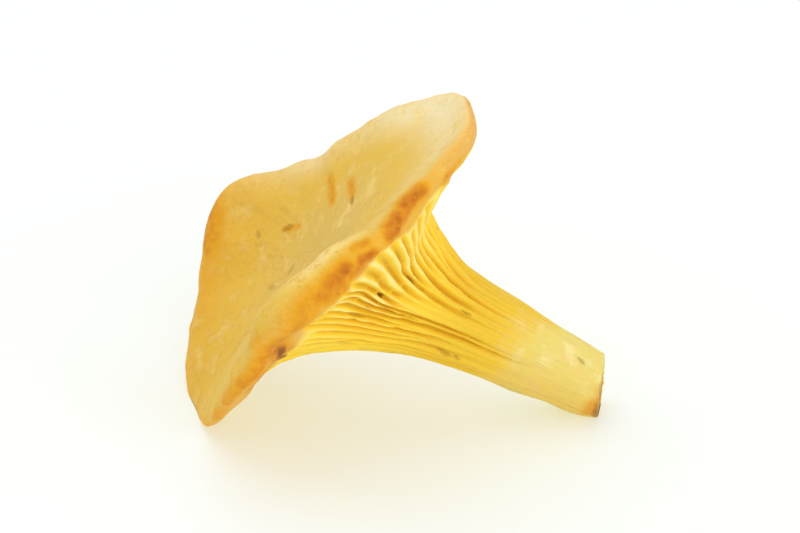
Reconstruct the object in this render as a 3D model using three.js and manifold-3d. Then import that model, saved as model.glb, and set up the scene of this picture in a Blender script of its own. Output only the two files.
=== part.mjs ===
// A chanterelle mushroom, picked and lying on its side: a funnel cap with a wavy, rolled margin, blunt
// forked ridges that run from the margin down onto the stem, and a stem cut off straight at its foot.
// It grew as one piece, so it is one solid.
//
// The mushroom is worked out standing on its foot, in a frame of its own: z runs up the stem, and an
// azimuth of 0, 90, 180 and 270 degrees points to the front, upper, back and lower side of the cap as it
// lies. It is then laid down on the edge of its cap and the end of its stem, and pressed flat where it
// touches. In the finished frame +Z is up, +X runs along the stem towards the foot, -Y is the front, and
// the origin is on the surface, under the middle of the mushroom. Units are millimetres.

import * as THREE from "three";
import { mergeVertices } from "three/addons/utils/BufferGeometryUtils.js";
import Module from "manifold-3d";

const TURN = 2 * Math.PI;
const DEGREE = Math.PI / 180;

// ---- The cap's margin, every 20 degrees of azimuth
const RIM_HEIGHT = 43; // of the margin over the foot, before its rises and dips
const RIM = [
  // [radius, rise, how far the edge rolls down, how full the cap is inside of it]
  [21.4, 1.6, 4.3, 0.6], // front
  [21.5, -1.1, 4.6, 0],
  [21.8, -3.7, 2.1, 0],
  [22.8, -6.9, 2.0, 0],
  [26.0, -8.3, 2.0, 0], // upper lobe
  [24.3, -8.3, 1.8, 0],
  [20.0, -4.8, 1.6, 0],
  [18.1, -2.5, 1.4, 0],
  [17.0, -2.3, 1.4, 0], // the dip beside the lobe
  [21.2, 0.5, 1.4, 0], // back
  [26.0, 4.7, 1.3, 0],
  [26.2, 2.9, 1.1, 0],
  [26.0, 2.6, 0.9, 0.2],
  [26.6, 0.2, 0.8, 0.5], // lower edge, which it lies on
  [26.0, -0.4, 0.9, 0.8],
  [23.8, 0.9, 1.3, 1.15],
  [22.1, 1.5, 1.8, 1.35],
  [21.4, 3.0, 2.6, 1.25],
];
const MARGIN_WAVES = [
  // [waves round the margin, radial swing, vertical swing, phase]
  [7, 0.25, 0.3, 0.6],
  [11, 0.2, 0.22, 2.1],
  [17, 0.12, 0.12, 4.0],
];

// ---- The flesh
const HOLLOW = 3.4; // how far the middle of the cap lies below RIM_HEIGHT
const EDGE = 1.7; // thickness of the flesh at the margin
const STEM = [
  // [radius, height over the foot, how far it sags to the lower side], down to the edge of the cut
  [5.8, 20.0, 0],
  [4.8, 10.0, 0.3],
  [4.25, 2.6, 0.45],
  [3.75, 0.75, 0.15],
];
const CUT_SLANT = [0.22, 0.5]; // rise of the cut per millimetre towards the front and the upper side
const THROAT = [12.6, 37.8]; // radius and height where the underside turns into the stem
const FULLER = [
  // [how much lower the underside is, round which azimuth, how far round], with turns in degrees
  [2.8, 28, 38],
  [2.0, 205, 45],
];
const BEND = [0.3, -0.2]; // how far the middle of the stem bows to the front and to the upper side
const WIDE = [-0.7, -0.35, 0, 0.35, 0.7]; // turns over which the middle of the cap takes the margin's mean

// ---- The ridges
const LANES = 66; // ridges at the margin; each two of them fork from one that reaches the stem
const RIDGE = 0.85; // depth of the grooves between them
const LATER = [
  // [stations by which they start later, round which azimuth, how far round], with turns in degrees
  [3.9, 335, 15],
  [3.2, 308, 16],
  [0.9, 85, 28],
  [1.0, 46, 9],
  [-0.7, 22, 9],
];
const BEARING = [0.14, 24, 26]; // radians by which they bear away, round which azimuth, how many degrees
const COLUMNS_A_LANE = 4;

// ---- How it lies
const LEAN = 27.6; // degrees from the surface up to the stem's axis
const HEADING = 4.2; // degrees by which the foot is turned towards the back
const PRESS = 0.8; // depth pressed flat where it touches the surface

// A repeatable draw from 0 to 1 for each whole number and each use.
function draw(n, use) {
  const x = Math.sin(n * 12.9898 + use * 78.233) * 43758.5453;
  return x - Math.floor(x);
}

const mix = (a, b, t) => a + (b - a) * t;
const clamp01 = (x) => Math.min(1, Math.max(0, x));
const smooth = (x) => clamp01(x) ** 2 * (3 - 2 * clamp01(x));

// A bell round an azimuth in degrees, of a width in degrees.
function near(azimuth, degrees, width) {
  const away = ((((azimuth / DEGREE - degrees + 180) % 360) + 360) % 360) - 180;
  return Math.exp(-((away / width) ** 2));
}

// Cubic through b and c, with a and d the values before and after them.
function cubic(a, b, c, d, t) {
  return b + 0.5 * t * (c - a + t * (2 * a - 5 * b + 4 * c - d + t * (3 * (b - c) + d - a)));
}

// Column `which` of the RIM table at an azimuth, smooth all the way round.
function rimValue(azimuth, which) {
  const at = ((azimuth / TURN) * RIM.length + 2 * RIM.length) % RIM.length;
  const i = Math.floor(at);
  const value = (k) => RIM[(i + k + RIM.length) % RIM.length][which];
  return cubic(value(-1), value(0), value(1), value(2), at - i);
}

// The margin at an azimuth: its radius, its height, the depth of its roll and how full the cap is there.
function margin(azimuth) {
  let radius = rimValue(azimuth, 0);
  let height = RIM_HEIGHT + rimValue(azimuth, 1);
  for (const [count, radial, vertical, phase] of MARGIN_WAVES) {
    radius += radial * Math.sin(count * azimuth + phase);
    height += vertical * Math.sin(count * azimuth + 1.7 * phase);
  }
  return { radius, height, roll: rimValue(azimuth, 2), full: rimValue(azimuth, 3) };
}

// The stations that the outline of a cut through the axis runs through at an azimuth, from the middle of
// the cap over the margin and down to the edge of the foot, as [radius, height]. Towards the middle the cap
// follows a wide mean of the margin, so that no crease runs into it.
function stations(azimuth) {
  const { radius, height, roll, full } = margin(azimuth);
  const around = WIDE.map((turn) => margin(azimuth + turn));
  const wideRadius = around.reduce((sum, m) => sum + m.radius, 0) / WIDE.length;
  const wideHeight = around.reduce((sum, m) => sum + m.height, 0) / WIDE.length;
  const middle = RIM_HEIGHT - HOLLOW;
  const crest = height + roll * 0.55;
  const inner = (share, hollowRise, fullRise) => {
    const own = smooth((share - 0.3) / 0.65);
    const top = mix(wideHeight + roll * 0.55, crest, own);
    return [mix(wideRadius, radius, own) * share, mix(middle, top, mix(hollowRise, fullRise, full))];
  };
  const throat = THROAT[1] + 0.45 * (height - RIM_HEIGHT);
  const lower = FULLER.reduce((sum, [by, where, width]) => sum + by * near(azimuth, where, width), 0);
  const lowRim = Math.max(RIM_HEIGHT - height, 0);
  const stem = STEM.map(([r, z, sag]) => [r - sag * Math.sin(azimuth), z]);
  const foot = stem[stem.length - 1];
  const cut = CUT_SLANT[0] * Math.cos(azimuth) + CUT_SLANT[1] * Math.sin(azimuth);
  return [
    [0, middle],
    inner(0.24, 0.05, 0.3),
    inner(0.5, 0.3, 0.65),
    inner(0.73, 0.74, 0.92),
    inner(0.88, 1, 1),
    [radius * 0.98, crest - roll * 0.35],
    [radius, crest - roll * 0.85],
    [radius - EDGE * 0.45, height - roll * 0.55 - EDGE * 0.25],
    [radius - EDGE * 1.3, height - roll * 0.3 - EDGE * 0.7 - 0.5 * lower],
    [radius * 0.8, mix(throat, height, 0.68) - EDGE * 0.6 - 0.95 * lower],
    [mix(THROAT[0], radius, 0.3), mix(throat, height, 0.33) - 1.2 * lower - 0.12 * lowRim],
    [THROAT[0], throat - 1.2 - 1.1 * lower],
    [9.8, mix(throat, STEM[0][1], 0.32) - 0.75 * lower],
    [7.2, mix(throat, STEM[0][1], 0.66) - 0.2 * lower],
    ...stem.slice(0, -1),
    [foot[0], foot[1] + cut * foot[0]],
    [foot[0] - 0.35, foot[1] - 0.35 + cut * (foot[0] - 0.35)],
  ];
}
const RIDGES_FROM = 6.7;
const RIDGES_TO = 15.3;
const LAST = 18;

// The outline's point at a place along the stations, as [radius, height].
function outline(list, place) {
  const i = Math.min(Math.floor(place), list.length - 2);
  const at = (k) => {
    if (i + k < 0) return [-list[1][0], list[1][1]];
    return list[Math.min(i + k, list.length - 1)];
  };
  return [0, 1].map((c) => cubic(at(-1)[c], at(0)[c], at(1)[c], at(2)[c], place - i));
}

// How deep the groove at lane edge `edge` is at a place along the stations, from 0 to 1. The odd ones end
// where two ridges join, and the even ones run on down the stem.
function groove(edge, place) {
  const n = (edge + LANES) % LANES;
  const azimuth = (n / LANES) * TURN;
  const later = LATER.reduce((sum, [by, where, width]) => sum + by * near(azimuth, where, width), 0);
  const start = RIDGES_FROM + later + mix(-0.1, 0.4, draw(n, 6));
  const end = n % 2 ? mix(12, 13.8, draw(n, 1)) : RIDGES_TO - mix(0, 1.2, draw(n, 2));
  return smooth((place - start) / 0.7) * smooth((end - place) / 1.3);
}

// Depth below the ridges' crests at lane coordinate `lane` and a place along the stations. A groove that
// runs down the stem widens on the side where its neighbour has ended.
function ridgeDepth(lane, place) {
  const edge = Math.floor(lane);
  let deep = 0;
  for (const [n, other] of [[edge, edge + 1], [edge + 1, edge]]) {
    const reach = n % 2 ? 0.5 : mix(0.9, 0.5, groove(other, place));
    const wall = Math.cos(Math.min(Math.abs(lane - n) / reach, 1) * (Math.PI / 2)) ** 1.4;
    deep = Math.max(deep, groove(n, place) * wall);
  }
  const tall = smooth((place - RIDGES_FROM) / 3) * smooth((RIDGES_TO + 0.6 - place) / 3.5);
  return RIDGE * deep * mix(0.75, 1, tall);
}

// The azimuth of a lane coordinate: lanes differ in width and sway a little on their way down. Round one
// azimuth they also bear away to the lower side.
function laneAzimuth(lane, place) {
  const a = (lane / LANES) * TURN;
  const uneven = 0.03 * Math.sin(5 * a + 1) + 0.02 * Math.sin(9 * a + 2.2) + 0.01 * Math.sin(16 * a);
  const sway = 0.03 * Math.sin(3 * a + 0.9 * place) * smooth((place - RIDGES_FROM - 2) / 4);
  const away = BEARING[0] * near(a, BEARING[1], BEARING[2]) * smooth((place - RIDGES_FROM - 0.8) / 6);
  return a + uneven + sway - away;
}

// A point of the standing mushroom's surface.
function surface(lane, place) {
  const azimuth = laneAzimuth(lane, place);
  const list = stations(azimuth);
  const step = 0.02;
  const [radius, height] = outline(list, place);
  const [r0, z0] = outline(list, Math.max(place - step, 0));
  const [r1, z1] = outline(list, Math.min(place + step, LAST));
  const length = Math.hypot(r1 - r0, z1 - z0);
  const depth = ridgeDepth(lane, place);
  const r = radius + ((z1 - z0) / length) * depth;
  const z = height - ((r1 - r0) / length) * depth;
  const bow = Math.sin(Math.PI * clamp01(z / RIM_HEIGHT));
  return new THREE.Vector3(
    r * Math.cos(azimuth) + BEND[0] * bow,
    r * Math.sin(azimuth) + BEND[1] * bow,
    z,
  );
}

// Rows of points round the mushroom, each [place along the stations, points round it].
function rows() {
  const coarse = LANES;
  const fine = LANES * COLUMNS_A_LANE;
  const top = [0.3, 0.7, 1.15, 1.6, 2.2, 2.8, 3.3, 3.8, 4.3, 4.8, 5.2, 5.6, 6];
  const under = [6.4, 6.8, 7.3, 7.9, 8.5, 9.2, 9.9, 10.5, 11, 11.5, 12, 12.5, 13, 13.6, 14.3, 15];
  const foot = [15.8, 16.4, 17, 17.5, LAST];
  return [
    ...top.map((place) => [place, coarse]),
    ...under.map((place) => [place, fine]),
    ...foot.map((place) => [place, coarse]),
  ];
}

// Triangles between two rings, where one may have COLUMNS_A_LANE times as many points as the other.
function band(upper, lower, faces) {
  const most = Math.max(upper.count, lower.count);
  const point = (ring, k) =>
    ring.first + (Math.floor((k * ring.count) / most + 0.5 * (ring.count < most)) % ring.count);
  for (let k = 0; k < most; k += 1) {
    const [a, b] = [point(upper, k), point(upper, k + 1)];
    const [c, d] = [point(lower, k), point(lower, k + 1)];
    if (a !== b) faces.push(a, c, b);
    if (c !== d) faces.push(b, c, d);
  }
}

// The standing mushroom as one closed, indexed geometry.
function standing() {
  const points = [surface(0, 0)];
  const faces = [];
  let above = null;
  for (const [place, count] of rows()) {
    const ring = { first: points.length, count };
    for (let k = 0; k < count; k += 1) points.push(surface((k / count) * LANES, place));
    if (above) band(above, ring, faces);
    else for (let k = 0; k < count; k += 1) faces.push(0, ring.first + k, ring.first + ((k + 1) % count));
    above = ring;
  }
  points.push(new THREE.Vector3(0, 0, STEM[STEM.length - 1][1] - 0.35));
  for (let k = 0; k < above.count; k += 1)
    faces.push(above.first + k, points.length - 1, above.first + ((k + 1) % above.count));
  const geometry = new THREE.BufferGeometry().setFromPoints(points);
  geometry.setIndex(faces);
  return geometry;
}

// A geometry as a closed solid.
function solid(wasm, geometry) {
  const bare = geometry.clone().deleteAttribute("normal").deleteAttribute("uv");
  const merged = mergeVertices(bare, 1e-4);
  return new wasm.Manifold(
    new wasm.Mesh({
      numProp: 3,
      vertProperties: new Float32Array(merged.attributes.position.array),
      triVerts: new Uint32Array(merged.index.array),
    }),
  );
}

// Lays the standing mushroom down, presses it flat where it touches, and puts the origin under its middle.
function lying(wasm, geometry) {
  const lean = LEAN * DEGREE;
  const heading = HEADING * DEGREE;
  const front = new THREE.Vector3(Math.sin(heading), -Math.cos(heading), 0);
  const up = new THREE.Vector3(
    -Math.cos(lean) * Math.cos(heading),
    -Math.cos(lean) * Math.sin(heading),
    Math.sin(lean),
  );
  const side = new THREE.Vector3().crossVectors(up, front);
  geometry.applyMatrix4(new THREE.Matrix4().makeBasis(front, side, up));
  geometry.computeBoundingBox();
  const low = geometry.boundingBox.min;
  const high = geometry.boundingBox.max;
  geometry.translate(-(low.x + high.x) / 2, -(low.y + high.y) / 2, -low.z - PRESS);
  const surfaceBlock = new THREE.BoxGeometry(200, 200, 20).translate(0, 0, -10);
  const pressed = solid(wasm, geometry).subtract(solid(wasm, surfaceBlock)).getMesh();
  const result = new THREE.BufferGeometry();
  result.setAttribute("position", new THREE.BufferAttribute(pressed.vertProperties, 3));
  result.setIndex(new THREE.BufferAttribute(pressed.triVerts, 1));
  return result;
}

const wasm = await Module();
wasm.setup();

const flesh = new THREE.MeshStandardMaterial({ color: 0xe6b14a, roughness: 0.62, metalness: 0 });
const mushroom = new THREE.Mesh(lying(wasm, standing()), flesh);
mushroom.name = "chanterelle";

const part = new THREE.Group();
part.add(mushroom);

export default part;
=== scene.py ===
"""A chanterelle mushroom, picked and lying on its side, on a plain white table in soft light.

The mushroom is one closed skin. It is worked out standing on its foot, in millimetres: z runs up the stem,
and an azimuth of 0, 90, 180 and 270 degrees points to the front, upper, back and lower side of the cap as
it lies. A point of the skin has a lane, counted round the mushroom, and a place, counted along the outline
from the middle of the cap over the margin and down the stem to the cut. It is then laid down on the edge
of its cap and the end of its stem, and turned into metres.
"""

import math

import bpy
import numpy as np
from mathutils import Matrix, Vector


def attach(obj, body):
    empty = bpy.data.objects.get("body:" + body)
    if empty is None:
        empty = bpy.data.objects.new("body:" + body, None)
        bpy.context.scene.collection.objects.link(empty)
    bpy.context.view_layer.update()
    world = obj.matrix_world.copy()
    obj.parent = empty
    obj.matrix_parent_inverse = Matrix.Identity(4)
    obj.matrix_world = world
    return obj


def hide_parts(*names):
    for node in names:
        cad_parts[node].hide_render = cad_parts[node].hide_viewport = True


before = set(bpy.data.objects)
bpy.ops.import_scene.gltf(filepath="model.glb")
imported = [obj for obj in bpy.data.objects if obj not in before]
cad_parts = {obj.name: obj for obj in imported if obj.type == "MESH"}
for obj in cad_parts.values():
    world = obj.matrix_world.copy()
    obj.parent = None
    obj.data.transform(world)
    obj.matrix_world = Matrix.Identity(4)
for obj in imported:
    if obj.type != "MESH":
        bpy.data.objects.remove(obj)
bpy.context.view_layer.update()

MM = 0.001
TURN = 2 * np.pi

# ---- The cap's margin, every 20 degrees of azimuth
RIM_HEIGHT = 43  # of the margin over the foot, before its rises and dips
RIM = np.array([
    # radius, rise, how far the edge rolls down, how full the cap is inside of it
    [21.4, 1.6, 4.3, 0.6],  # front
    [21.5, -1.1, 4.6, 0.0],
    [21.8, -3.7, 2.1, 0.0],
    [22.8, -6.9, 2.0, 0.0],
    [26.0, -8.3, 2.0, 0.0],  # upper lobe
    [24.3, -8.3, 1.8, 0.0],
    [20.0, -4.8, 1.6, 0.0],
    [18.1, -2.5, 1.4, 0.0],
    [17.0, -2.3, 1.4, 0.0],  # the dip beside the lobe
    [21.2, 0.5, 1.4, 0.0],  # back
    [26.0, 4.7, 1.3, 0.0],
    [26.2, 2.9, 1.1, 0.0],
    [26.0, 2.6, 0.9, 0.2],
    [26.6, 0.2, 0.8, 0.5],  # lower edge, which it lies on
    [26.0, -0.4, 0.9, 0.8],
    [23.8, 0.9, 1.3, 1.15],
    [22.1, 1.5, 1.8, 1.35],
    [21.4, 3.0, 2.6, 1.25],
])
MARGIN_WAVES = [
    # waves round the margin, radial swing, vertical swing, phase
    [7, 0.25, 0.3, 0.6],
    [11, 0.2, 0.22, 2.1],
    [17, 0.12, 0.12, 4.0],
]

# ---- The flesh
HOLLOW = 3.4  # how far the middle of the cap lies below RIM_HEIGHT
CAP = [
    # share of the radius; share of the rise to the crest, for a plain cap and for a full one
    [0.24, 0.05, 0.3],
    [0.5, 0.3, 0.65],
    [0.73, 0.74, 0.92],
    [0.88, 1, 1],
]
CREST = 0.55  # height of the crest over the margin, as a share of the roll
AROUND = [-0.7, -0.35, 0, 0.35, 0.7]  # turns, in radians, to the azimuths of the margin's wide mean
EDGE = 1.7  # thickness of the flesh at the margin
STEM = [
    # radius, height over the foot, how far it sags to the lower side
    [5.8, 20.0, 0],
    [4.8, 10.0, 0.3],
    [4.25, 2.6, 0.45],
    [3.75, 0.75, 0.15],  # edge of the cut
]
CUT_SLANT = [0.22, 0.5]  # rise of the cut per millimetre towards the front and the upper side
THROAT = [12.6, 37.8]  # radius and height where the underside turns into the stem
THROAT_FOLLOWS = 0.45  # how far it rises and dips with the margin
FULLER = [
    # how much lower the underside is, round which azimuth, how far round
    [2.8, 28, 38],
    [2.0, 205, 45],
]
BEND = [0.3, -0.2]  # how far the middle of the stem bows to the front and to the upper side

# ---- The ridges
LANES = 66  # ridges at the margin; each two of them fork from one that reaches the stem
RIDGE = 0.85  # depth of the grooves between them
RIDGES_FROM = 6.7
RIDGES_TO = 15.3
STARTS_BY = 10  # place by which every one of them has started
STARTS_VARY = [-0.1, 0.4]  # places by which each groove starts later than its ridges
LATER = [
    # places by which they start later, round which azimuth, how far round
    [3.9, 335, 15],
    [3.2, 308, 16],
    [0.9, 85, 28],
    [1.0, 46, 9],
    [-0.7, 22, 9],
]
BEARING = [0.14, 24, 26]  # radians by which they bear away, round which azimuth, how far round
CROWDED = [0.7, 21, 9]  # share of their depth that is lost where that crowds them, azimuth, how far round
NARROW = [1.2, 60, 28]  # what the power of the grooves' cosine gains, azimuth, how far round
UNFORKED = [40, 32]  # azimuth round which they don't fork once more at the margin, how far round
BARE = [300, 22]  # azimuth round which the cap's skin reaches in under the margin, how far round
ODD_ENDS = [12.0, 13.8]  # places between which the odd grooves end
EVEN_ENDS = [0, 1.2]  # places before RIDGES_TO at which the even grooves end
FORK_ENDS = [9.2, 11.0]  # places between which the short grooves in the forks end
FORK_DEPTH = 0.8  # of those grooves, as a share of the others'
VEINS_APART = 0.55  # length, in places, of the stretches of a groove that hold one vein or none
VEIN_SHARE = 0.3  # of the stretches that hold one
LAST = 18  # place of the cut's edge

# ---- Unevenness of the skin
RELIEF = {
    # layers of noise: height and size in millimetres, and the use they draw for
    "cap": [[0.18, 5.5, 21], [0.08, 2.1, 22], [0.03, 0.9, 23]],
    "margin": [[0.3, 2.9, 24], [0.12, 1.3, 25]],
    "crests": [[0.1, 1.7, 26], [0.05, 0.8, 27]],
    "stem": [[0.25, 5.0, 28]],
    "fibres": [[0.1, 0.8, 29], [0.05, 0.35, 30]],
    "cut": [[0.14, 1.2, 31], [0.08, 0.5, 32]],
}

# ---- Sides of the mushroom that are painted otherwise: in colours of their own, and with painted highlights and painted shade
SIDES = {
    # strength, azimuth, how far round
    "lobe": [[1, 101, 37], [0.5, 168, 22]],  # pale: partly its own colour, partly painted sheen
    "crest": [[1, 19, 15]],  # where the cap is highest in front, with a painted highlight along it
    "rolled": [[1, 20, 48]],  # below the roll, where the ridges' crests are painted paler: painted highlights
    "warm": [[1, 222, 42]],  # golden end of the cap
    "low": [[1, 325, 45]],  # lower side
}

# ---- Marks on the skin, each a stretch between two points of it
BRUISE_SPREAD = 1.7  # how far a bruise's colour fades out beside it, in half widths
BRUISES = [
    # azimuth in degrees and place of either end, half the width in millimetres, strength
    [51.0, 6.0, 46.0, 5.6, 0.9, 0.9],
    [48.0, 6.5, 42.0, 6.4, 0.6, 0.8],
    [42.0, 5.7, 37.0, 5.6, 0.8, 0.9],
    [37.0, 6.1, 34.5, 6.0, 0.7, 1.0],
    [29.0, 5.2, 26.0, 5.0, 0.5, 0.6],
    [27.0, 6.1, 23.5, 5.8, 0.5, 1.1],
    [22.0, 6.2, 18.0, 6.0, 0.6, 0.8],
    [19.0, 5.5, 12.0, 5.5, 0.9, 0.85],
    [13.0, 6.0, 7.5, 5.7, 1.0, 0.7],
    [8.0, 5.3, 3.0, 5.5, 0.8, 0.45],
    [1.6, 5.9, 352.0, 6.6, 1.2, 0.6],
    [349.0, 7.0, 340.0, 6.8, 1.1, 0.8],
    [346.0, 7.4, 336.0, 8.6, 1.4, 0.75],
    [343.0, 5.2, 338.0, 4.6, 0.6, 0.35],
    [338.0, 6.6, 333.0, 6.3, 0.9, 0.7],
    [331.0, 6.4, 325.0, 5.9, 0.8, 0.65],
    [328.0, 9.8, 305.0, 8.8, 1.0, 0.75],
    [321.0, 6.3, 311.0, 5.9, 0.8, 0.6],
    [305.0, 6.3, 296.0, 6.3, 0.8, 0.5],
    [336.0, 8.4, 326.0, 9.6, 1.2, 0.95],
    [84.0, 7.5, 60.0, 7.4, 0.8, 0.7],
    [203.0, 4.6, 214.0, 4.1, 2.0, 0.65],
    [214.0, 4.2, 228.0, 3.9, 2.0, 0.3],
    [199.7, 2.1, 193.0, 1.8, 0.36, 0.45],
    [10.0, 17.0, 345.0, 16.9, 0.6, 0.45],
    [342.0, 16.8, 325.0, 16.6, 0.9, 0.8],
    [154.5, 2.4, 152.0, 1.6, 0.6, 0.55],
    [129.5, 1.85, 112.0, 1.45, 0.6, 0.6],
]
SPECKS = [
    # azimuth in degrees and place of either end, half the width in millimetres, strength
    [334.4, 8.7, 330.5, 9.15, 0.6, 1.0],
    [318.0, 10.1, 314.0, 10.3, 0.5, 0.9],
    [108.0, 1.36, 100.0, 1.26, 0.34, 0.55],
    [200.0, 2.1, 196.5, 2.0, 0.3, 0.4],
    [207.0, 2.6, 208.0, 2.55, 0.32, 0.32],
    [226.0, 1.3, 231.0, 1.3, 0.45, 0.28],
    [238.0, 1.75, 240.0, 1.65, 0.4, 0.28],
    [13.2, 11.0, 12.6, 11.15, 0.34, 0.95],
    [35.0, 11.1, 32.6, 11.3, 0.2, 0.6],
    [30.4, 11.35, 28.8, 11.75, 0.2, 0.45],
    [30.5, 13.6, 30.1, 13.8, 0.18, 0.5],
    [354.5, 11.1, 353.3, 11.6, 0.15, 0.4],
    [3.6, 11.1, 1.5, 11.4, 0.15, 0.4],
    [331.0, 13.7, 329.8, 13.9, 0.28, 0.4],
    [331.0, 14.0, 330.5, 14.05, 0.24, 0.4],
    [45.0, 15.5, 43.4, 15.6, 0.22, 0.5],
    [331.0, 17.4, 305.0, 17.3, 0.65, 0.7],
]

# ---- How it lies
LEAN = math.radians(27.6)  # from the surface up to the stem's axis
HEADING = math.radians(4.2)  # by which the foot is turned towards the back
PRESS = 0.8  # depth pressed flat where it touches the surface
SMOOTH_BELOW = 2.5  # height under which the unevenness fades out

# ---- Colours, in sRGB from 0 to 255
COLOURS = {
    # the cap
    "ochre": (231, 189, 70),
    # the cap's middle, greyer: partly its own tone, partly painted shade of the hollow
    "beige middle and painted hollow shade": (220, 185, 98),
    "golden end": (230, 168, 22),
    "pale blots": (238, 208, 132),
    # partly the lobe's own cream and partly painted sheen
    "cream lobe and painted sheen": (244, 228, 178),
    # painted highlight along the crest of the roll in front
    "painted crest highlight": (243, 214, 132),
    "golden margin": (234, 172, 34),
    "orange rim": (220, 152, 44),
    "tan rim": (230, 182, 108),
    "ochre crumbs": (212, 162, 50),
    "light blots": (246, 212, 112),
    "brown fibres": (206, 152, 44),
    "pale felt": (248, 220, 140),
    "orange bruise": (230, 164, 14),
    "rusty bruise": (210, 126, 6),
    "brown bruise": (176, 84, 6),
    # the ridges
    "egg yellow": (252, 216, 62),
    "deep yellow": (248, 200, 44),
    "golden foot of the ridges": (234, 193, 50),
    # painted highlights on the ridges' crests below the roll
    "painted highlights on the crests": (252, 232, 142),
    # painted shade in the grooves, darker still in the deepest of them
    "painted shade in the grooves": (228, 178, 22),
    "painted shade deepest in the grooves": (212, 146, 12),
    # darker brown in patches where the grooves are deep
    "brown patches deep in the grooves": (200, 134, 14),
    "creases": (220, 168, 26),
    # the stem and its cut
    "straw": (232, 212, 116),
    # painted shade: the stem's lower side painted darker and more golden
    "painted shade on the lower side of the stem": (234, 196, 92),
    "darker fibres": (212, 180, 88),
    "cream blots": (250, 236, 168),
    "greenish patches": (208, 194, 84),
    "pinkish patches": (238, 196, 128),
    "golden bruise": (218, 146, 20),
    "cut flesh": (214, 170, 80),
    "browned flesh": (186, 128, 48),
    "brown edge": (150, 88, 30),
    "soil": (136, 74, 0),
}
TABLE_BLUISH_UNDER_GLOW = (0.42, 0.48, 0.62, 1)  # linear and bluish, with the painted glow below on top of it, so that the shade left on the table is warm
# painted glow: warm light given off by the table, which is no lamp
TABLE_PAINTED_GLOW = (1, 0.94, 0.62, 1)

# ---- The light and the view
LIGHTS = [
    # name, watts, width and place in metres
    ["overhead", 5, 1.4, (-0.3, 0.3, 1.3)],
    ["front", 6, 1.2, (0.7, -1.1, 0.6)],
]
LIT = (0, 0, 0.02)  # what they face
SKY = 0.8  # strength of the white light from all round
VIEW_DOWN = math.radians(25)  # how far down the camera looks before it is turned to AIM
VIEW_TIP = math.radians(2.05)  # by which it is rolled
EYE = [-8.776, 22.381, -600]  # how far it is to the right, up and ahead of the origin, in millimetres
AIM = (0, 0, 0.0195)  # what it looks at, in metres
LENS, SENSOR = 220, 36  # focal length and width of the picture in it, in millimetres


def near(azimuth, degrees, width):
    """A bell of this width round one azimuth in degrees: exp(-(distance / width)^2), by the shorter way
    round the mushroom."""
    away = (np.degrees(azimuth) - degrees + 180) % 360 - 180
    return np.exp(-((away / width) ** 2))


def bells(azimuth, *rows):
    """The sum of bells round the mushroom, each with its height, its azimuth in degrees and its width."""
    return sum(height * near(azimuth, degrees, width) for height, degrees, width in rows)


def evenly(lane):
    """The azimuth of a lane when all the lanes are equally wide."""
    return lane / LANES * TURN


def draw(n, use):
    """A repeatable draw from 0 to 1 for each whole number and each use: the fraction of a large sine."""
    x = np.sin(n * 12.9898 + use * 78.233) * 43758.5453
    return x - np.floor(x)


def mix(a, b, t):
    """a where t is 0, b where t is 1, and along a straight line between."""
    return a + (b - a) * t


def smooth(x):
    """0 below 0, 1 above 1, and 3x^2 - 2x^3 between."""
    x = np.clip(x, 0, 1)
    return x * x * (3 - 2 * x)


def cubic(a, b, c, d, t):
    """Catmull-Rom cubic through b and c, with a and d the values before and after them."""
    return b + 0.5 * t * (c - a + t * (2 * a - 5 * b + 4 * c - d + t * (3 * (b - c) + d - a)))


def noise(points, size, use):
    """Noise from -1 to 1 at rows of three coordinates: a draw at each corner of a lattice of cubes of this
    size, blended between the corners with the curve of smooth()."""
    cell = np.floor(points / size)
    share = smooth(points / size - cell)
    total = 0
    for corner in np.ndindex(2, 2, 2):
        weight = np.prod(np.where(corner, share, 1 - share), axis=-1)
        total = total + weight * draw((cell + corner) @ (1.0, 57.0, 113.0), use)
    return 2 * total - 1


def margin(azimuth):
    """Radius, height and roll of the margin: a cubic through the RIM rows, periodic, plus MARGIN_WAVES."""
    at = (azimuth / TURN * len(RIM)) % len(RIM)
    i = np.floor(at).astype(int)
    rows = [RIM[(i + k) % len(RIM)] for k in (-1, 0, 1, 2)]
    radius, rise, roll, full = np.moveaxis(cubic(*rows, (at - i)[..., None]), -1, 0)
    for count, radial, vertical, phase in MARGIN_WAVES:
        radius = radius + radial * np.sin(count * azimuth + phase)
        rise = rise + vertical * np.sin(count * azimuth + 1.7 * phase)
    return radius, RIM_HEIGHT + rise, roll, full


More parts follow.
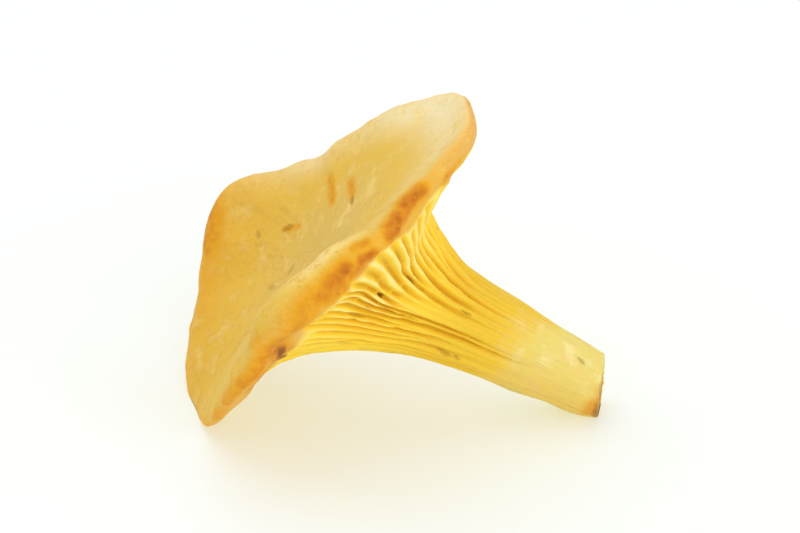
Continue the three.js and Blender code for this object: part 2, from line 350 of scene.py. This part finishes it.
def stations(azimuth):
    """The points that the outline of a cut through the axis runs through at each azimuth, from the middle
    of the cap over the margin and down to the edge of the foot: (station, radius or height, azimuth).
    Towards the middle the cap follows a wide mean of the margin, so that no crease runs into it."""
    radius, height, roll, full = margin(azimuth)
    around = [margin(azimuth + turn) for turn in AROUND]
    wide_radius = sum(m[0] for m in around) / len(around)
    wide_height = sum(m[1] for m in around) / len(around)
    middle = RIM_HEIGHT - HOLLOW
    crest = height + roll * CREST

    def inner(share, plain_rise, full_rise):
        """A point of the cap at a share of its radius that has risen by a share of the way to the crest.
        The further out it is, the more it follows its own azimuth's margin and not the mean."""
        own = smooth((share - 0.3) / 0.65)
        top = mix(wide_height + roll * CREST, crest, own)
        rise = mix(plain_rise, full_rise, full)
        return [mix(wide_radius, radius, own) * share, mix(middle, top, rise)]

    throat = THROAT[1] + THROAT_FOLLOWS * (height - RIM_HEIGHT)
    lower = bells(azimuth, *FULLER)
    low_rim = np.maximum(RIM_HEIGHT - height, 0)
    stem = [[r - sag * np.sin(azimuth), z] for r, z, sag in STEM]
    foot, low = stem[-1]
    cut = CUT_SLANT[0] * np.cos(azimuth) + CUT_SLANT[1] * np.sin(azimuth)
    points = [
        [0, middle],
        *[inner(*row) for row in CAP],
        # the margin
        [radius * 0.98, crest - roll * 0.35],
        [radius, crest - roll * 0.85],
        [radius - EDGE * 0.45, height - roll * 0.55 - EDGE * 0.25],
        # the underside, down to the throat
        [radius - EDGE * 1.3, height - roll * 0.3 - EDGE * 0.7 - 0.5 * lower],
        [radius * 0.8, mix(throat, height, 0.68) - EDGE * 0.6 - 0.95 * lower],
        [mix(THROAT[0], radius, 0.3), mix(throat, height, 0.33) - 1.2 * lower - 0.12 * low_rim],
        [THROAT[0], throat - 1.2 - 1.1 * lower],
        # the stem
        [9.8, mix(throat, STEM[0][1], 0.32) - 0.75 * lower],
        [7.2, mix(throat, STEM[0][1], 0.66) - 0.2 * lower],
        *stem[:-1],
        # the edge of the cut, worn round
        [foot, low + cut * foot],
        [foot - 0.35, low - 0.35 + cut * (foot - 0.35)],
    ]
    return np.array([[np.broadcast_to(c, azimuth.shape) for c in point] for point in points])


def outline(marks, place):
    """Radius and height at each place along the stations: a cubic through the four nearest. Before the
    first station comes its neighbour mirrored across the axis, and after the last the last again."""
    before = marks[1] * np.array([[-1], [1]])
    marks = np.concatenate([before[None], marks, marks[-1:]])
    i = np.clip(np.floor(place), 0, LAST - 1).astype(int)
    four = [np.take_along_axis(marks, (i + k)[None, None], 0)[0] for k in range(4)]
    return cubic(*four, place - i)


def ridges_from(lane):
    """The place where the ridges start at each lane: RIDGES_FROM and the bells of LATER, but STARTS_BY at
    the most."""
    return np.minimum(RIDGES_FROM + bells(evenly(lane), *LATER), STARTS_BY)


def skin_to(lane):
    """The place to which the cap's colour reaches at each lane: the ridges' start, and STARTS_BY round the
    part of the edge that it lies on."""
    return mix(ridges_from(lane), STARTS_BY, near(evenly(lane), *BARE))


def groove(edge, place):
    """How deep the groove at a whole lane is, from 0 to 1, with a smooth rise and fall along it. The odd
    ones end where two ridges join, and the even ones run on down the stem."""
    n = edge % LANES
    odd = mix(*ODD_ENDS, draw(n, 1))
    even = RIDGES_TO - mix(*EVEN_ENDS, draw(n, 2))
    start = ridges_from(n) + mix(*STARTS_VARY, draw(n, 6))
    return smooth((place - start) / 0.7) * smooth((np.where(n % 2 == 1, odd, even) - place) / 1.3)


def split(edge, place):
    """How deep the short groove in the middle of a lane is, from 0 to 1. Somewhat more than half of the
    ridges fork once more close to the margin, but none between the front and the upper side."""
    n = edge % LANES
    end = mix(*FORK_ENDS, draw(n, 4))
    depth = smooth((place - ridges_from(n)) / 0.6) * smooth((end - place) / 0.9)
    return depth * (draw(n, 5) > 0.45) * (near(evenly(n), *UNFORKED) < 0.5)


def veins(edge, place):
    """Low walls across a groove, each a bell along it. Each stretch of the groove holds one or none."""
    n = edge % LANES
    at = place / VEINS_APART + 5 * draw(n, 7)
    stretch = np.floor(at)
    key = n + 71 * stretch
    wall = np.exp(-(((at - stretch - mix(0.3, 0.7, draw(key, 8))) / 0.14) ** 2))
    reach = smooth((place - RIDGES_FROM - 2) / 0.8) * smooth((13.2 - place) / 1.5)
    return wall * (draw(key, 9) > 1 - VEIN_SHARE) * reach


def ridge_depth(lane, place):
    """Depth below the ridges' crests, as a share of the deepest. Each groove is a quarter turn of a cosine
    to either side of its middle, raised to a power from 1.4 up, which is higher where the grooves are
    narrower. Its reach is half a lane, more for an even groove where the odd one beside it has ended, and
    less beside a fork, and it wanders a little. Where the lanes crowd together on the stem, the grooves
    are shallower."""

    def across(distance, reach):
        return np.cos(np.minimum(np.abs(distance) / reach, 1) * np.pi / 2)

    edge = np.floor(lane)
    fork = split(edge, place)
    deep = FORK_DEPTH * fork * across(lane - edge - 0.5, 0.27)
    power = 1.4 + bells(evenly(lane), NARROW)
    wandering = 0.12 * smooth((place - RIDGES_FROM - 1.5) / 3)
    for n, other in ((edge, edge + 1), (edge + 1, edge)):
        wander = wandering * np.sin(1.9 * place + TURN * draw(n % LANES, 3))
        even_reach = mix(0.9, 0.5, groove(other, place))
        reach = np.where(n % 2 == 1, 0.5, even_reach) - 0.23 * fork
        wall = across(lane - n - wander, reach) ** power
        deep = np.maximum(deep, groove(n, place) * wall * (1 - 0.25 * veins(n, place)))
    tall = smooth((place - RIDGES_FROM) / 3) * smooth((RIDGES_TO + 0.6 - place) / 3.5)
    crowded = bells(evenly(lane), CROWDED) * smooth((place - 11.4) / 1.4)
    return deep * mix(0.75, 1, tall) * (1 - crowded)


def crease(lane, place):
    """Faint lines where the grooves run out, one at each whole lane and each of its own strength: a narrow
    bell across the lanes, with a smooth rise and fall along them."""
    n = np.round(lane)
    bell = np.exp(-(((lane - n) / 0.22) ** 2)) * mix(0.35, 1, draw(n % LANES, 10))
    return bell * smooth((place - 11.5) / 1.5) * smooth((15.4 - place) / 1.4)


def lane_azimuth(lane, place):
    """The azimuth of a lane: its even one, with three sines that make the lanes differ in width and one
    that makes them sway on their way down. Round one azimuth they also bear away to the lower side."""
    a = evenly(lane)
    uneven = 0.03 * np.sin(5 * a + 1) + 0.02 * np.sin(9 * a + 2.2) + 0.01 * np.sin(16 * a)
    sway = 0.03 * np.sin(3 * a + 0.9 * place) * smooth((place - RIDGES_FROM - 2) / 4)
    away = bells(a, BEARING) * smooth((place - RIDGES_FROM - 3) / 4)
    return a + uneven + sway - away


def standing(place, azimuth, deep):
    """Points of the standing mushroom: the outline's radius and height, moved in by the ridges' depth along
    the outline's normal and turned to the azimuth, with a half sine of bow added along the stem. Past the
    cut's edge, a place of LAST + t is at 1 - t of the cut's radius, in a shallow dish."""
    marks = stations(azimuth)
    step = 0.02
    on_skin = np.minimum(place, LAST)
    r, z = outline(marks, on_skin)
    r0, z0 = outline(marks, np.maximum(on_skin - step, 0))
    r1, z1 = outline(marks, np.minimum(on_skin + step, LAST))
    length = np.hypot(r1 - r0, z1 - z0)
    r = r + (z1 - z0) / length * deep * RIDGE
    z = z - (r1 - r0) / length * deep * RIDGE
    inside = np.clip(place - LAST, 0, 1)
    z = z * (1 - inside) + STEM[-1][1] * inside * (2 - inside)
    r = r * (1 - inside)
    bow = np.sin(np.pi * np.clip(z / RIM_HEIGHT, 0, 1))
    x = r * np.cos(azimuth) + BEND[0] * bow
    y = r * np.sin(azimuth) + BEND[1] * bow
    return np.stack([x, y, z], axis=-1)


# Bands of the skin: the place it runs to, the rings in it, and the points round each ring
BANDS = [
    [4.6, 48, 396],  # cap
    [7.5, 28, 792],  # rolled margin
    [12.8, 50, 792],  # ridges
    [17.4, 32, 396],  # stem
    [LAST, 6, 396],  # edge of the cut
    [LAST + 0.93, 9, 198],  # cut
]


def rings():
    """The rings of the skin as one row of numbers each: its place and the points round it."""
    start = 0
    made = []
    for end, count, around in BANDS:
        made += [(mix(start, end, (k + 1) / count), around) for k in range(count)]
        start = end
    return made


def band_faces(upper, lower):
    """Triangles between two rings of vertex numbers. Where one has fewer points than the other, each of its
    points stands for several in turn, and the triangles that this leaves without width are dropped."""
    most = max(len(upper), len(lower))
    k = np.arange(most + 1)

    def point(ring):
        shift = 0.5 if len(ring) < most else 0
        return ring[np.floor(k * len(ring) / most + shift).astype(int) % len(ring)]

    a, b = point(upper)[:-1], point(upper)[1:]
    c, d = point(lower)[:-1], point(lower)[1:]
    return np.concatenate([np.stack([a, c, b], 1)[a != b], np.stack([b, c, d], 1)[c != d]])


def skin_grid():
    """Lane and place of every vertex, and the triangles: a pole, the rings and another pole."""
    lanes, places, faces = [np.zeros(1)], [np.zeros(1)], []
    total, above = 1, np.zeros(1, int)
    for place, around in rings():
        ring = total + np.arange(around)
        lanes.append(np.arange(around) / around * LANES)
        places.append(np.full(around, place))
        faces.append(band_faces(above, ring))
        total, above = total + around, ring
    faces.append(band_faces(above, np.array([total])))
    lanes.append(np.zeros(1))
    places.append(np.full(1, LAST + 1.0))
    return np.concatenate(lanes), np.concatenate(places), np.concatenate(faces)


def vertex_normals(points, faces):
    """The normals of the faces, weighted by area and summed at each vertex."""
    a, b, c = (points[faces[:, k]] for k in range(3))
    across = np.cross(b - a, c - a)

    def at_vertices(values):
        return sum(np.bincount(faces[:, k], values, len(points)) for k in range(3))

    total = np.stack([at_vertices(values) for values in across.T], axis=-1)
    return total / np.linalg.norm(total, axis=1, keepdims=True)


def relief(points, grain, place, deep):
    """Millimetres by which the skin stands out, as layers of noise: broad and fine unevenness on the cap,
    lumps and small crimps along the margin, uneven crests on the ridges, long fibres on the stem and a
    rough cut."""

    def layers(part, at=points):
        return sum(height * noise(at, size, use) for height, size, use in RELIEF[part])

    cap = smooth((place - 0.3) / 1.5) * (1 - smooth((place - 6) / 1))
    crimped = np.exp(-(((place - 5.9) / 1.1) ** 2))
    ridged = smooth((place - 8.6) / 1.5) * (1 - smooth((place - 13) / 2))
    stem = smooth((place - 12.5) / 2) * (1 - smooth((place - 17.5) / 0.5))
    cut = smooth((place - 17.6) / 0.5)
    return (
        cap * layers("cap")
        + crimped * layers("margin")
        + ridged * (1 - deep) * layers("crests")
        + stem * (layers("stem") + layers("fibres", grain * [1, 1, 0.3]))
        + cut * layers("cut")
    )


def laid_down(points, loose):
    """Turns the stem's axis down to LEAN over the surface, centres the box over the origin and presses what
    is below the surface flat. The loose points go along."""
    front = np.array([math.sin(HEADING), -math.cos(HEADING), 0])
    up = np.array([
        -math.cos(LEAN) * math.cos(HEADING),
        -math.cos(LEAN) * math.sin(HEADING),
        math.sin(LEAN),
    ])
    turn = np.stack([front, np.cross(up, front), up])
    points = points @ turn
    low, high = points.min(0), points.max(0)
    move = [(low[0] + high[0]) / 2, (low[1] + high[1]) / 2, low[2] + PRESS]
    points = points - move
    points[:, 2] = np.maximum(points[:, 2], 0)
    return points, loose @ turn - move


def mark_ends(marks):
    """The two ends of each mark, on the skin of the standing mushroom: (mark, end, axis). The lane that
    passes each end is found in three steps, from the even spacing on."""
    marks = np.array(marks)
    azimuth, place = np.radians(marks[:, [0, 2]]).ravel(), marks[:, [1, 3]].ravel()
    lane = azimuth / TURN * LANES
    for _ in range(3):
        lane = lane + (azimuth - lane_azimuth(lane, place)) / TURN * LANES
    return standing(place, azimuth, ridge_depth(lane, place)).reshape(-1, 2, 3)


def stretch_bell(points, start, end, width):
    """1 on the stretch from start to end, and exp(-(distance / width)^2) beside it."""
    along = end - start
    share = np.clip((points - start) @ along / (along @ along), 0, 1)
    away = points - start - share[:, None] * along
    return np.exp(-(away**2).sum(1) / width**2)


def make_mushroom():
    """The mushroom's mesh, with what its material needs to know at each vertex, and the ends of its specks
    in metres."""
    lane, place, faces = skin_grid()
    azimuth = lane_azimuth(lane, place)
    deep = ridge_depth(lane, place) * (place < LAST)
    points = standing(place, azimuth, deep)
    bruise = 0
    for (start, end), (*_, width, strength) in zip(mark_ends(BRUISES), BRUISES):
        spread = BRUISE_SPREAD * width
        bruise = np.maximum(bruise, strength * stretch_bell(points, start, end, spread))
    # The skin unrolled on a tube of 6 mm radius, with about the millimetres from the cap's middle along it
    along = np.where(place < 6, 4.2 * place, 25 + 3.6 * (place - 6))
    grain = np.stack([6 * np.cos(azimuth), 6 * np.sin(azimuth), along], axis=-1)
    out = relief(points, grain, place, deep)
    points, specks = laid_down(points, mark_ends(SPECKS))
    free = smooth(points[:, 2] / SMOOTH_BELOW)
    points = points + vertex_normals(points, faces) * (out * free)[:, None]
    points[:, 2] = np.maximum(points[:, 2], 0)

    mesh = bpy.data.meshes.new("chanterelle_flesh")
    mesh.from_pydata(points * MM, [], faces)
    mesh.polygons.foreach_set("use_smooth", np.ones(len(faces), bool))
    marks = {
        "place": place,
        "groove": deep,
        "crease": crease(lane, place),
        "underside": smooth((place - skin_to(lane) + 0.1) / 0.5),
        "bruise": bruise,
        **{side: bells(azimuth, *rows) for side, rows in SIDES.items()},
    }
    for name, values in marks.items():
        data = mesh.attributes.new(name, "FLOAT", "POINT").data
        data.foreach_set("value", values.astype(np.float32))
    data = mesh.attributes.new("grain", "FLOAT_VECTOR", "POINT").data
    data.foreach_set("vector", grain.astype(np.float32).ravel())
    mesh.update()
    piece = bpy.data.objects.new("chanterelle_flesh", mesh)
    bpy.context.scene.collection.objects.link(piece)
    return piece, specks * MM


class Wire:
    """An output socket among a material's nodes. Arithmetic on it adds Math nodes, and node() any other."""

    def __init__(self, tree, socket=None):
        self.tree, self.socket = tree, socket

    def node(self, kind, settings=None, inputs=None, output=0):
        """Adds a node of this type: its settings first, then the value or the link of each socket, by its
        name or number."""
        made = self.tree.nodes.new(kind)
        for name, value in (settings or {}).items():
            setattr(made, name, value)
        for key, value in (inputs or {}).items():
            if isinstance(value, Wire):
                self.tree.links.new(value.socket, made.inputs[key])
            else:
                made.inputs[key].default_value = value
        return Wire(self.tree, made.outputs[output] if made.outputs else None)

    def maths(self, operation, *values):
        return self.node("ShaderNodeMath", {"operation": operation}, dict(enumerate(values)))

    def __add__(self, other):
        return self.maths("ADD", self, other)

    def __sub__(self, other):
        return self.maths("SUBTRACT", self, other)

    def __rsub__(self, other):
        return self.maths("SUBTRACT", other, self)

    def __mul__(self, other):
        return self.maths("MULTIPLY", self, other)

    def __pow__(self, other):
        return self.maths("POWER", self, other)

    __radd__ = __add__
    __rmul__ = __mul__

    def above(self, low, high):
        """0 where the value is under low, 1 where it is over high, and smooth between."""
        settings = {"interpolation_type": "SMOOTHSTEP"}
        return self.node("ShaderNodeMapRange", settings, {0: self, 1: low, 2: high})

    def under(self, other, share):
        """This colour, covered by this share of another one, which is a socket or a name in COLOURS."""
        if isinstance(other, str):
            other = paint(other)
        settings = {"data_type": "RGBA", "clamp_factor": True}
        return self.node("ShaderNodeMix", settings, {0: share, 6: self, 7: other}, 2)

    def bigger(self, other):
        """The larger of the two values."""
        return self.maths("MAXIMUM", self, other)


def paint(name):
    """The linear colour of a name in COLOURS."""
    share = np.array(COLOURS[name]) / 255
    linear = np.where(share <= 0.04045, share / 12.92, ((share + 0.055) / 1.055) ** 2.4)
    return (*linear, 1.0)


def new_material(name):
    """An empty material, and a wire to start its nodes from."""
    material = bpy.data.materials.new(name)
    material.use_nodes = True
    material.node_tree.nodes.clear()
    return material, Wire(material.node_tree)


def flesh_material(specks):
    """Matte flesh: an ochre cap with painted sheen on its lobe and a painted highlight along its crest in
    front, orange and brown bruises on its rolled margin, yellow ridges with painted highlights on their
    crests and painted shade in their grooves, a pale fibrous stem with painted shade on its lower side, a
    brown-edged cut, and specks of soil."""
    material, wire = new_material("chanterelle flesh")
    here = wire.node("ShaderNodeTexCoord", output="Object")

    def mark(name):
        return wire.node("ShaderNodeAttribute", {"attribute_name": name}, output="Fac")

    def vector_maths(operation, *values, output="Vector"):
        return wire.node("ShaderNodeVectorMath", {"operation": operation}, dict(enumerate(values)), output)

    def mottle(size, detail=3, rough=0.55, vector=here, unit=MM, output=0):
        """Noise from 0 to 1 with blots of this size, in millimetres."""
        inputs = {"Vector": vector, "Scale": 1 / (size * unit), "Detail": detail, "Roughness": rough}
        return wire.node("ShaderNodeTexNoise", {}, inputs, output)

    grain = wire.node("ShaderNodeAttribute", {"attribute_name": "grain"}, output="Vector")
    lengthwise = vector_maths("MULTIPLY", grain, (1, 1, 0.12))
    around = vector_maths("MULTIPLY", grain, (0.12, 0.12, 1))
    fibres = mottle(0.45, 4, 0.6, lengthwise, 1)
    zones = mottle(0.8, 3, 0.6, around, 1)
    broad, blots, crumbs, felt = mottle(9), mottle(2.6, 4, 0.6), mottle(0.9, 4, 0.6), mottle(0.3, 2)

    marks = ("place", "groove", "crease", "underside", "bruise")
    place, groove, creases, underside, bruise = (mark(name) for name in marks)
    lobe, crest, rolled, warm, low = (mark(side) for side in SIDES)

    def plain(name):
        made = wire.node("ShaderNodeRGB")
        made.socket.default_value = paint(name)
        return made

    # By place: the cap to 5, the margin to 7, the ridges to 15, the stem to 17 and the cut from 18
    outer = place.above(1.6, 4.4)
    cap = plain("ochre")
    # The hollow middle of the cap, greyer beige: partly its own tone and partly painted shade.
    cap = cap.under("beige middle and painted hollow shade", (1 - place.above(0.8, 2.8)) * (0.35 + 0.6 * broad))
    cap = cap.under("golden end", warm * outer * (0.55 + 0.7 * blots))
    cap = cap.under("pale blots", (1 - outer) * blots.above(0.5, 0.68) * 0.6)
    # The lobe's pale cream: partly its own colour, partly painted sheen.
    cap = cap.under("cream lobe and painted sheen", lobe * place.above(2.4, 4.0) * (0.6 + 0.7 * zones))
    # Painted highlight along the crest of the roll in front.
    streak = crest * place.above(3.4, 4.0) * (1 - place.above(4.3, 4.8))
    cap = cap.under("painted crest highlight", streak * (0.45 + zones))
    cap = cap.under("golden margin", (1 - 0.8 * lobe) * place.above(4.5, 5.4) * 0.8)
    cap = cap.under("orange rim", lobe * place.above(5.25, 5.8) * 0.85)
    cap = cap.under("tan rim", low * place.above(4.8, 6.0) * 0.65)
    mottled = 1 - 0.85 * lobe
    cap = cap.under("ochre crumbs", (blots * crumbs).above(0.24, 0.38) * mottled * 0.8)
    cap = cap.under("light blots", (blots + 0.4 * crumbs).above(0.7, 0.95) * 0.6)
    cap = cap.under("brown fibres", fibres.above(0.52, 0.8) * mottled * 0.45)
    cap = cap.under("pale felt", felt.above(0.5, 0.8) * 0.25)
    worn = bruise * (1.2 * blots + 1.3 * crumbs - 0.12)
    cap = cap.under("orange bruise", worn.above(0.1, 0.55) * 0.9)
    cap = cap.under("rusty bruise", worn.above(0.4, 1.0) * 0.85)
    cap = cap.under("brown bruise", worn.above(0.85, 1.3) * 0.6)

    ridges = plain("egg yellow")
    ridges = ridges.under("deep yellow", broad.above(0.4, 0.7) * 0.5)
    ridges = ridges.under("golden foot of the ridges", place.above(12.0, 14.2) * 0.8)
    # Painted highlights on the ridges' crests below the roll.
    pale = rolled * (1 - place.above(10.5, 13)) * (1 - groove.above(0.05, 0.35))
    ridges = ridges.under("painted highlights on the crests", pale * 0.85)
    # Painted shade in the grooves, darker still where they are deepest.
    ridges = ridges.under("painted shade in the grooves", groove.above(0.3, 0.95) * 0.75)
    ridges = ridges.under("painted shade deepest in the grooves", groove.above(0.75, 1.0) * (1 - low) * 0.6)
    # Darker brown in patches where the grooves are deep.
    ridges = ridges.under("brown patches deep in the grooves", (groove * crumbs).above(0.5, 0.75) * 0.4)
    ridges = ridges.under("creases", creases * (0.35 + 0.4 * blots) * (1 - 0.6 * low))
    end = (place + 0.9 * fibres + 0.5 * blots - 0.45 * lobe).above(14.95, 15.6)
    # The stem's lower side is painted darker and more golden: painted shade.
    stem = plain("straw").under("painted shade on the lower side of the stem", low * (0.5 + 0.6 * blots))
    stem = stem.under("darker fibres", (fibres * blots).above(0.26, 0.42) * 0.6)
    stem = stem.under("cream blots", blots.above(0.48, 0.7) * (1 - low) * 0.6)
    stem = stem.under("greenish patches", broad.above(0.5, 0.66) * 0.4)
    stem = stem.under("pinkish patches", mottle(3.6, 2).above(0.52, 0.66) * 0.45)
    ridges = ridges.under(stem, end).under("golden bruise", bruise.above(0.1, 0.8) * 0.85)

    cut = plain("cut flesh").under("browned flesh", blots.above(0.4, 0.65) * 0.5)
    cut = cut.under("brown edge", (1 - place.above(18.0, 18.25)) * (0.2 + 0.7 * low))
    colour = cap.under(ridges, underside).under(cut, place.above(17.75, 17.95))

    # Each speck is an ellipsoid round its stretch, with an edge made ragged by a shift of 0.25 mm at most:
    # |away|^2 / width^2, less what makes it longer along its direction
    soil = felt.above(0.79, 0.86) * crumbs.above(0.5, 0.62) * 0.6
    jitter = mottle(0.7, 2, output="Color")
    shift = vector_maths("MULTIPLY_ADD", jitter, (0.5 * MM,) * 3, (-0.25 * MM,) * 3)
    roughly = vector_maths("ADD", here, shift)
    for (start, stop), (*_, width, strength) in zip(specks, SPECKS):
        away = vector_maths("SUBTRACT", roughly, tuple((start + stop) / 2))
        half = np.linalg.norm(stop - start) / 2
        direction = tuple((stop - start) / (2 * half))
        longer = (1 / (width * MM)) ** 2 - 1 / (half + width * MM) ** 2
        across = vector_maths("DOT_PRODUCT", away, away, output="Value") * (1 / (width * MM)) ** 2
        along = vector_maths("DOT_PRODUCT", away, direction, output="Value") ** 2
        spot = across - along * longer
        soil = soil.bigger((1 - spot.above(0.0, 2.6)) * strength)
    colour = colour.under("soil", soil)

    height = 0.06 * blots + 0.1 * crumbs + 0.05 * felt + 0.06 * fibres + 0.05 * fibres * underside
    height = height - 0.15 * soil - 0.05 * creases
    bump = wire.node("ShaderNodeBump", {}, {"Strength": 1.0, "Distance": MM, "Height": height})
    shader = wire.node("ShaderNodeBsdfPrincipled", {}, {
        "Base Color": colour,
        "Roughness": 0.48 + 0.2 * felt + 0.1 * crumbs,
        "Normal": bump,
        "Specular IOR Level": 0.25,
        "Subsurface Weight": 0.2,
        "Subsurface Radius": (1.0, 0.7, 0.2),
        "Subsurface Scale": 1.2 * MM,
    })
    wire.node("ShaderNodeOutputMaterial", {}, {"Surface": shader})
    return material


def make_floor():
    """A white table, far wider than the view, with a painted warm glow that lifts and warms the shade
    around the mushroom.
    """
    mesh = bpy.data.meshes.new("table")
    half = 3
    corners = [(-half, -half, 0), (half, -half, 0), (half, half, 0), (-half, half, 0)]
    mesh.from_pydata(corners, [], [(0, 1, 2, 3)])
    floor = bpy.data.objects.new("table", mesh)
    bpy.context.scene.collection.objects.link(floor)
    material, wire = new_material("white table")
    # Painted glow: the table gives off warm light though it is no lamp, and its bluish base leaves its
    # shade warm.
    shader = wire.node("ShaderNodeBsdfPrincipled", {}, {
        "Base Color": TABLE_BLUISH_UNDER_GLOW,
        "Roughness": 0.5,
        "Emission Color": TABLE_PAINTED_GLOW,
        "Emission Strength": 0.5,
    })
    wire.node("ShaderNodeOutputMaterial", {}, {"Surface": shader})
    mesh.materials.append(material)
    return floor


def add_light(name, watts, width, place):
    """A square area light of this width at a place in metres, which faces the mushroom."""
    data = bpy.data.lights.new(name, "AREA")
    data.energy, data.size = watts, width
    light = bpy.data.objects.new(name, data)
    light.location = place
    light.rotation_euler = (Vector(LIT) - Vector(place)).to_track_quat("-Z", "Y").to_euler()
    bpy.context.scene.collection.objects.link(light)


def add_camera():
    """Looks down at the middle of the mushroom from the front, by a long lens, and is rolled slightly."""
    data = bpy.data.cameras.new("camera")
    data.lens, data.sensor_width = LENS, SENSOR
    data.clip_start, data.clip_end = 0.05, 20
    camera = bpy.data.objects.new("camera", data)
    ahead = Vector((0, math.cos(VIEW_DOWN), -math.sin(VIEW_DOWN)))
    level, over = Vector((1, 0, 0)), Vector((0, math.sin(VIEW_DOWN), math.cos(VIEW_DOWN)))
    right = level * math.cos(VIEW_TIP) + over * math.sin(VIEW_TIP)
    top = over * math.cos(VIEW_TIP) - level * math.sin(VIEW_TIP)
    eye = (right * EYE[0] + top * EYE[1] + ahead * EYE[2]) * MM
    ahead = (Vector(AIM) - eye).normalized()
    right = (right - ahead * right.dot(ahead)).normalized()
    turned = Matrix((right, right.cross(ahead), -ahead)).transposed().to_4x4()
    camera.matrix_world = Matrix.Translation(eye) @ turned
    bpy.context.scene.collection.objects.link(camera)
    bpy.context.scene.camera = camera


mushroom, speck_ends = make_mushroom()
mushroom.data.materials.append(flesh_material(speck_ends))
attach(mushroom, "root")
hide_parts("chanterelle")

make_floor()
for light in LIGHTS:
    add_light(*light)
world = bpy.data.worlds.new("studio")
world.use_nodes = True
background = world.node_tree.nodes["Background"]
background.inputs["Color"].default_value = (1, 1, 1, 1)
background.inputs["Strength"].default_value = SKY
bpy.context.scene.world = world
bpy.context.scene.view_settings.view_transform = "Standard"
add_camera()
